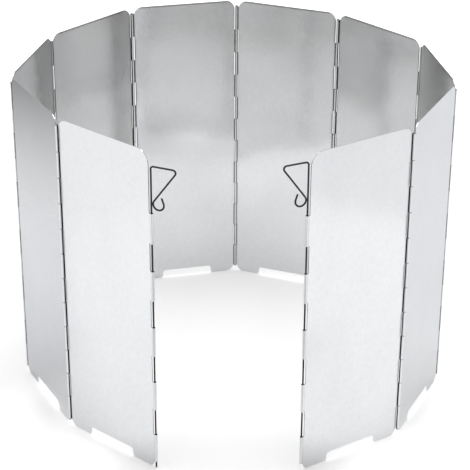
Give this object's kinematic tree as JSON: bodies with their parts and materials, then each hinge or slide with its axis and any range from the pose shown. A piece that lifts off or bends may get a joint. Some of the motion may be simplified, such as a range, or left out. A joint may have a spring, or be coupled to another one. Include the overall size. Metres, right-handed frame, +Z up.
{
  "type": "stove windscreen",
  "caption": "Folding windscreen of thin hinged metal panels standing as an open ring round a camping stove, with a wire hook rod on each free edge.",
  "frame": {"origin": "centre of the standing ring's box, on the ground", "axes": "+Z up, -Y towards the open front gap, +X to the right seen from the front"},
  "size_m": [0.3122, 0.303, 0.24],
  "materials": {
    "panel_aluminium": "satin",
    "pin_steel": "satin",
    "rod_steel": "satin"
  },
  "bodies": {
    "panel_1": {"panel_1": "panel_aluminium", "hinge_pin_1": "pin_steel"},
    "panel_2": {"panel_2": "panel_aluminium", "hinge_pin_2": "pin_steel"},
    "panel_3": {"panel_3": "panel_aluminium", "hinge_pin_3": "pin_steel"},
    "panel_4": {"panel_4": "panel_aluminium", "hinge_pin_4": "pin_steel"},
    "panel_5": {"panel_5": "panel_aluminium", "hinge_pin_5": "pin_steel"},
    "panel_6": {"panel_6": "panel_aluminium", "hinge_pin_6": "pin_steel"},
    "panel_7": {"panel_7": "panel_aluminium", "hinge_pin_7": "pin_steel"},
    "panel_8": {"panel_8": "panel_aluminium", "hinge_pin_8": "pin_steel"},
    "panel_9": {"panel_9": "panel_aluminium", "hinge_pin_9": "pin_steel"},
    "panel_10": {"panel_10": "panel_aluminium"},
    "latch_rod_left": {"latch_rod_left": "rod_steel"},
    "latch_rod_right": {"latch_rod_right": "rod_steel"}
  },
  "joints": [
    {"name": "hinge_5", "type": "hinge", "parent": "panel_5", "child": "panel_6", "pos_m": [0.00273, 0.15039, 0], "axis": [0, 0, 1], "range_deg": [0, 212.5]},
    {"name": "hinge_1", "type": "hinge", "parent": "panel_2", "child": "panel_1", "pos_m": [-0.11646, -0.08791, 0], "axis": [0, 0, -1], "range_deg": [0, 200.41]},
    {"name": "hinge_2", "type": "hinge", "parent": "panel_3", "child": "panel_2", "pos_m": [-0.15493, -0.01323, 0], "axis": [0, 0, 1], "range_deg": [0, 136.91]},
    {"name": "hinge_3", "type": "hinge", "parent": "panel_4", "child": "panel_3", "pos_m": [-0.13567, 0.06854, 0], "axis": [0, 0, -1], "range_deg": [0, 206.71]},
    {"name": "hinge_4", "type": "hinge", "parent": "panel_5", "child": "panel_4", "pos_m": [-0.07887, 0.13043, 0], "axis": [0, 0, 1], "range_deg": [0, 143.71]},
    {"name": "hinge_6", "type": "hinge", "parent": "panel_6", "child": "panel_7", "pos_m": [0.08097, 0.11981, 0], "axis": [0, 0, -1], "range_deg": [0, 153.11]},
    {"name": "hinge_7", "type": "hinge", "parent": "panel_7", "child": "panel_8", "pos_m": [0.13969, 0.05974, 0], "axis": [0, 0, 1], "range_deg": [0, 211.31]},
    {"name": "hinge_8", "type": "hinge", "parent": "panel_8", "child": "panel_9", "pos_m": [0.15493, -0.02287, 0], "axis": [0, 0, -1], "range_deg": [0, 141.81]},
    {"name": "hinge_9", "type": "hinge", "parent": "panel_9", "child": "panel_10", "pos_m": [0.11922, -0.09891, 0], "axis": [0, 0, 1], "range_deg": [0, 209.91]},
    {"name": "latch_swivel_left", "type": "hinge", "parent": "panel_1", "child": "latch_rod_left", "pos_m": [-0.05188, -0.14163, 0], "axis": [0, 0, 1], "range_deg": [-42.5, 137.5]},
    {"name": "latch_swivel_right", "type": "hinge", "parent": "panel_10", "child": "latch_rod_right", "pos_m": [0.04826, -0.14387, 0], "axis": [0, 0, -1], "range_deg": [-34, 146]}
  ],
  "couplings": [
    {"joint": "hinge_1", "follows": "hinge_5", "ratio": 0.94306},
    {"joint": "hinge_2", "follows": "hinge_5", "ratio": 0.64424},
    {"joint": "hinge_3", "follows": "hinge_5", "ratio": 0.97271},
    {"joint": "hinge_4", "follows": "hinge_5", "ratio": 0.67624},
    {"joint": "hinge_6", "follows": "hinge_5", "ratio": 0.72047},
    {"joint": "hinge_7", "follows": "hinge_5", "ratio": 0.99435},
    {"joint": "hinge_8", "follows": "hinge_5", "ratio": 0.66729},
    {"joint": "hinge_9", "follows": "hinge_5", "ratio": 0.98777}
  ]
}
